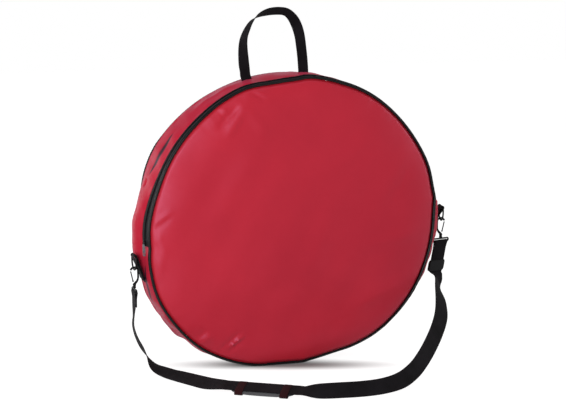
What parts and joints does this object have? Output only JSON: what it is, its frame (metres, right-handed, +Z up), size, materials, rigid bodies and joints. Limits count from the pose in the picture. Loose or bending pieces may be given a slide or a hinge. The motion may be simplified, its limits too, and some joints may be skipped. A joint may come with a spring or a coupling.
{
  "type": "bicycle wheel bag",
  "caption": "Round padded red bag for one bicycle wheel, with a coil zip over its upper edge, a webbing handle and a shoulder strap on swivel hooks.",
  "frame": {"origin": "the flat of the base, midway between the two faces, on the floor", "axes": "+Z up, +Y toward the back face, +X to the right seen from the front"},
  "size_m": [0.798, 0.4706, 0.839],
  "materials": {
    "coated_polyester": "satin",
    "grey_foam": "matte",
    "black_lining": "matte",
    "black_piping": "satin",
    "zip_tape": "matte",
    "nylon_coil": "satin",
    "black_metal": "satin",
    "grey_pull": "matte",
    "polyester_webbing": "matte",
    "grey_pad_cloth": "matte",
    "maroon_band": "matte"
  },
  "bodies": {
    "bag": {"back_panel": "coated_polyester", "front_panel_lower": "coated_polyester", "gusset_lower": "coated_polyester", "gusset_upper": "coated_polyester", "back_foam": "grey_foam", "front_foam_lower": "grey_foam", "back_lining": "black_lining", "front_lining_lower": "black_lining", "back_piping": "black_piping", "front_piping_lower": "black_piping", "zip_tape_rear": "zip_tape", "zip_end_left": "zip_tape", "zip_end_right": "zip_tape", "zip_coil_rear": "nylon_coil", "handle_foot_left": "polyester_webbing", "handle_foot_right": "polyester_webbing", "side_tab_left": "polyester_webbing", "side_tab_right": "polyester_webbing", "strap_run_left": "polyester_webbing", "strap_run_right": "polyester_webbing"},
    "front_flap": {"front_panel_upper": "coated_polyester", "front_foam_upper": "grey_foam", "front_lining_upper": "black_lining", "front_piping_upper": "black_piping", "zip_tape_front": "zip_tape", "zip_coil_front": "nylon_coil"},
    "slider": {"zip_slider": "black_metal"},
    "pull": {"zip_pull": "grey_pull"},
    "handle": {"handle_webbing": "polyester_webbing"},
    "ring_left": {"d_ring_left": "black_metal"},
    "strap_end_left": {"swivel_eye_left": "black_metal", "strap_loop_left": "polyester_webbing"},
    "snap_left": {"hook_left": "black_metal"},
    "gate_left": {"hook_gate_left": "black_metal"},
    "ring_right": {"d_ring_right": "black_metal"},
    "strap_end_right": {"swivel_eye_right": "black_metal", "strap_upper_right": "polyester_webbing", "strap_return": "polyester_webbing"},
    "snap_right": {"hook_right": "black_metal"},
    "gate_right": {"hook_gate_right": "black_metal"},
    "adjuster": {"strap_adjuster": "black_metal"},
    "pad": {"shoulder_pad": "grey_pad_cloth", "pad_keeper_left": "maroon_band", "pad_keeper_right": "maroon_band"}
  },
  "joints": [
    {"name": "flap_fold", "type": "hinge", "parent": "bag", "child": "front_flap", "pos_m": [-0.0034, -0.0708, 0.3579], "axis": [0.9925, 0, 0.1219], "range_deg": [0, 135]},
    {"name": "zip_travel", "type": "hinge", "parent": "bag", "child": "slider", "pos_m": [0, -0.0403, 0.33], "axis": [0, 1, 0], "range_deg": [0, 173.6]},
    {"name": "pull_lift", "type": "hinge", "parent": "slider", "child": "pull", "pos_m": [-0.36072, -0.04155, 0.30653], "axis": [-0.1976, 0.9803, -0.0047], "range_deg": [0, 110]},
    {"name": "handle_fold", "type": "hinge", "parent": "bag", "child": "handle", "pos_m": [-0.0325, 0.018, 0.6866], "axis": [0.9975, 0, 0.0702], "range_deg": [-75, 75]},
    {"name": "ring_play_left", "type": "hinge", "parent": "bag", "child": "ring_left", "pos_m": [-0.383, -0.024, 0.274], "axis": [0, 1, 0], "range_deg": [-2, 2]},
    {"name": "strap_swing_left", "type": "hinge", "parent": "bag", "child": "strap_end_left", "pos_m": [-0.383, -0.024, 0.242], "axis": [0, 1, 0], "range_deg": [0, 50], "deforming": ["strap_run_left"]},
    {"name": "swivel_left", "type": "hinge", "parent": "strap_end_left", "child": "snap_left", "pos_m": [-0.383, -0.024, 0.208], "axis": [0, 0, 1], "range_deg": [-30, 30]},
    {"name": "gate_left", "type": "hinge", "parent": "snap_left", "child": "gate_left", "pos_m": [-0.3851, -0.024, 0.2122], "axis": [0, 1, 0], "range_deg": [0, 18], "stiffness_Nm_per_rad": 0.02, "springref_deg": -28.65},
    {"name": "ring_play_right", "type": "hinge", "parent": "bag", "child": "ring_right", "pos_m": [0.3812, -0.008, 0.3507], "axis": [-0.1392, -0.9903, 0], "range_deg": [-2, 2]},
    {"name": "strap_swing_right", "type": "hinge", "parent": "bag", "child": "strap_end_right", "pos_m": [0.3812, -0.008, 0.3187], "axis": [-0.1392, -0.9903, 0], "range_deg": [0, 50], "deforming": ["strap_run_right"]},
    {"name": "swivel_right", "type": "hinge", "parent": "strap_end_right", "child": "snap_right", "pos_m": [0.3812, -0.008, 0.2847], "axis": [0, 0, 1], "range_deg": [-30, 30]},
    {"name": "gate_right", "type": "hinge", "parent": "snap_right", "child": "gate_right", "pos_m": [0.38328, -0.00829, 0.2889], "axis": [-0.1392, -0.9903, 0], "range_deg": [0, 18], "stiffness_Nm_per_rad": 0.02, "springref_deg": -28.65},
    {"name": "adjuster_slide", "type": "slide", "parent": "strap_end_right", "child": "adjuster", "axis": [0.172, -0.0242, 0.9848], "range_m": [0, 0.03], "deforming": ["strap_return"]},
    {"name": "pad_slide", "type": "slide", "parent": "bag", "child": "pad", "axis": [0.8351, -0.55, 0], "range_m": [-0.015, 0.015]}
  ]
}
